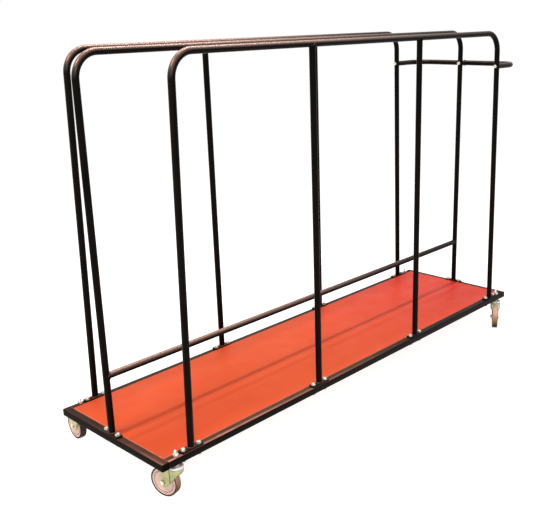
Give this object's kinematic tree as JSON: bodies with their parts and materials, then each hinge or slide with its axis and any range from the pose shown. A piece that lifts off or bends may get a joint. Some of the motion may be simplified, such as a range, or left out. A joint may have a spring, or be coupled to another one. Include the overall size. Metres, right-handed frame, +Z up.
{
  "type": "mat trolley",
  "caption": "Long low trolley frame on swivel castors with a flat deck and tall tube hoops that hold sports mats on edge, with a tube push handle at one end",
  "frame": {"origin": "On the floor, under the middle of the box round the whole trolley with its castors as they stand in the picture.", "axes": "+X runs along the trolley towards the push handle, +Z is up, and -Y is the front side, which faces the picture's viewer."},
  "size_m": [2.04, 0.6785, 1.336],
  "materials": {
    "black_paint": "satin powder coat",
    "deck": "satin coloured surface",
    "zinc": "zinc plated",
    "bright_steel": "bright plated",
    "fork_zinc": "yellow passivated zinc",
    "wheel": "moulded satin",
    "tyre": "matt"
  },
  "bodies": {
    "frame": {"near_end_rail": "black_paint", "far_end_rail": "black_paint", "front_rail": "black_paint", "rear_rail": "black_paint", "cross_member_1": "black_paint", "cross_member_2": "black_paint", "cross_member_3": "black_paint", "cross_member_4": "black_paint", "deck_panel": "deck", "front_hoop": "black_paint", "front_hoop_upright_1": "black_paint", "front_hoop_upright_2": "black_paint", "middle_hoop": "black_paint", "rear_hoop": "black_paint", "rear_hoop_upright_1": "black_paint", "rear_hoop_upright_2": "black_paint", "middle_low_rail": "black_paint", "front_hoop_near_foot": "black_paint", "front_hoop_upright_1_foot": "black_paint", "front_hoop_upright_2_foot": "black_paint", "front_hoop_far_foot": "black_paint", "middle_hoop_near_foot": "black_paint", "middle_hoop_far_foot": "black_paint", "rear_hoop_near_foot": "black_paint", "rear_hoop_upright_1_foot": "black_paint", "rear_hoop_upright_2_foot": "black_paint", "rear_hoop_far_foot": "black_paint", "push_handle": "black_paint", "handle_stub": "black_paint", "handle_bolt_front": "zinc", "handle_bolt_middle": "zinc", "handle_bolt_rear": "zinc", "castor_near_front_stem": "bright_steel", "castor_near_front_nut": "zinc", "castor_near_rear_stem": "bright_steel", "castor_near_rear_nut": "zinc", "castor_far_front_stem": "bright_steel", "castor_far_front_nut": "zinc", "castor_far_rear_stem": "bright_steel", "castor_far_rear_nut": "zinc"},
    "castor_near_front_swivel": {"castor_near_front_fork": "fork_zinc", "castor_near_front_ball_ring": "bright_steel", "castor_near_front_axle": "zinc"},
    "castor_near_front_wheel": {"castor_near_front_wheel_core": "wheel", "castor_near_front_tyre": "tyre"},
    "castor_near_rear_swivel": {"castor_near_rear_fork": "fork_zinc", "castor_near_rear_ball_ring": "bright_steel", "castor_near_rear_axle": "zinc"},
    "castor_near_rear_wheel": {"castor_near_rear_wheel_core": "wheel", "castor_near_rear_tyre": "tyre"},
    "castor_far_front_swivel": {"castor_far_front_fork": "fork_zinc", "castor_far_front_ball_ring": "bright_steel", "castor_far_front_axle": "zinc"},
    "castor_far_front_wheel": {"castor_far_front_wheel_core": "wheel", "castor_far_front_tyre": "tyre"},
    "castor_far_rear_swivel": {"castor_far_rear_fork": "fork_zinc", "castor_far_rear_ball_ring": "bright_steel", "castor_far_rear_axle": "zinc"},
    "castor_far_rear_wheel": {"castor_far_rear_wheel_core": "wheel", "castor_far_rear_tyre": "tyre"}
  },
  "joints": [
    {"name": "castor_near_front_turn", "type": "hinge", "parent": "frame", "child": "castor_near_front_swivel", "pos_m": [-0.96, -0.28093, 0.105], "axis": [0, 0, 1], "continuous": true},
    {"name": "castor_near_front_roll", "type": "hinge", "parent": "castor_near_front_swivel", "child": "castor_near_front_wheel", "pos_m": [-0.97089, -0.23726, 0.05], "axis": [-0.9703, -0.2419, 0], "continuous": true},
    {"name": "castor_near_rear_turn", "type": "hinge", "parent": "frame", "child": "castor_near_rear_swivel", "pos_m": [-0.96, 0.24407, 0.105], "axis": [0, 0, 1], "continuous": true},
    {"name": "castor_near_rear_roll", "type": "hinge", "parent": "castor_near_rear_swivel", "child": "castor_near_rear_wheel", "pos_m": [-0.95608, 0.2889, 0.05], "axis": [-0.9962, 0.0872, 0], "continuous": true},
    {"name": "castor_far_front_turn", "type": "hinge", "parent": "frame", "child": "castor_far_front_swivel", "pos_m": [0.92, -0.28093, 0.105], "axis": [0, 0, 1], "continuous": true},
    {"name": "castor_far_front_roll", "type": "hinge", "parent": "castor_far_front_swivel", "child": "castor_far_front_wheel", "pos_m": [0.88143, -0.3041, 0.05], "axis": [0.515, -0.8572, 0], "continuous": true},
    {"name": "castor_far_rear_turn", "type": "hinge", "parent": "frame", "child": "castor_far_rear_swivel", "pos_m": [0.92, 0.24407, 0.105], "axis": [0, 0, 1], "continuous": true},
    {"name": "castor_far_rear_roll", "type": "hinge", "parent": "castor_far_rear_swivel", "child": "castor_far_rear_wheel", "pos_m": [0.88103, 0.26657, 0.05], "axis": [-0.5, -0.866, 0], "continuous": true}
  ]
}
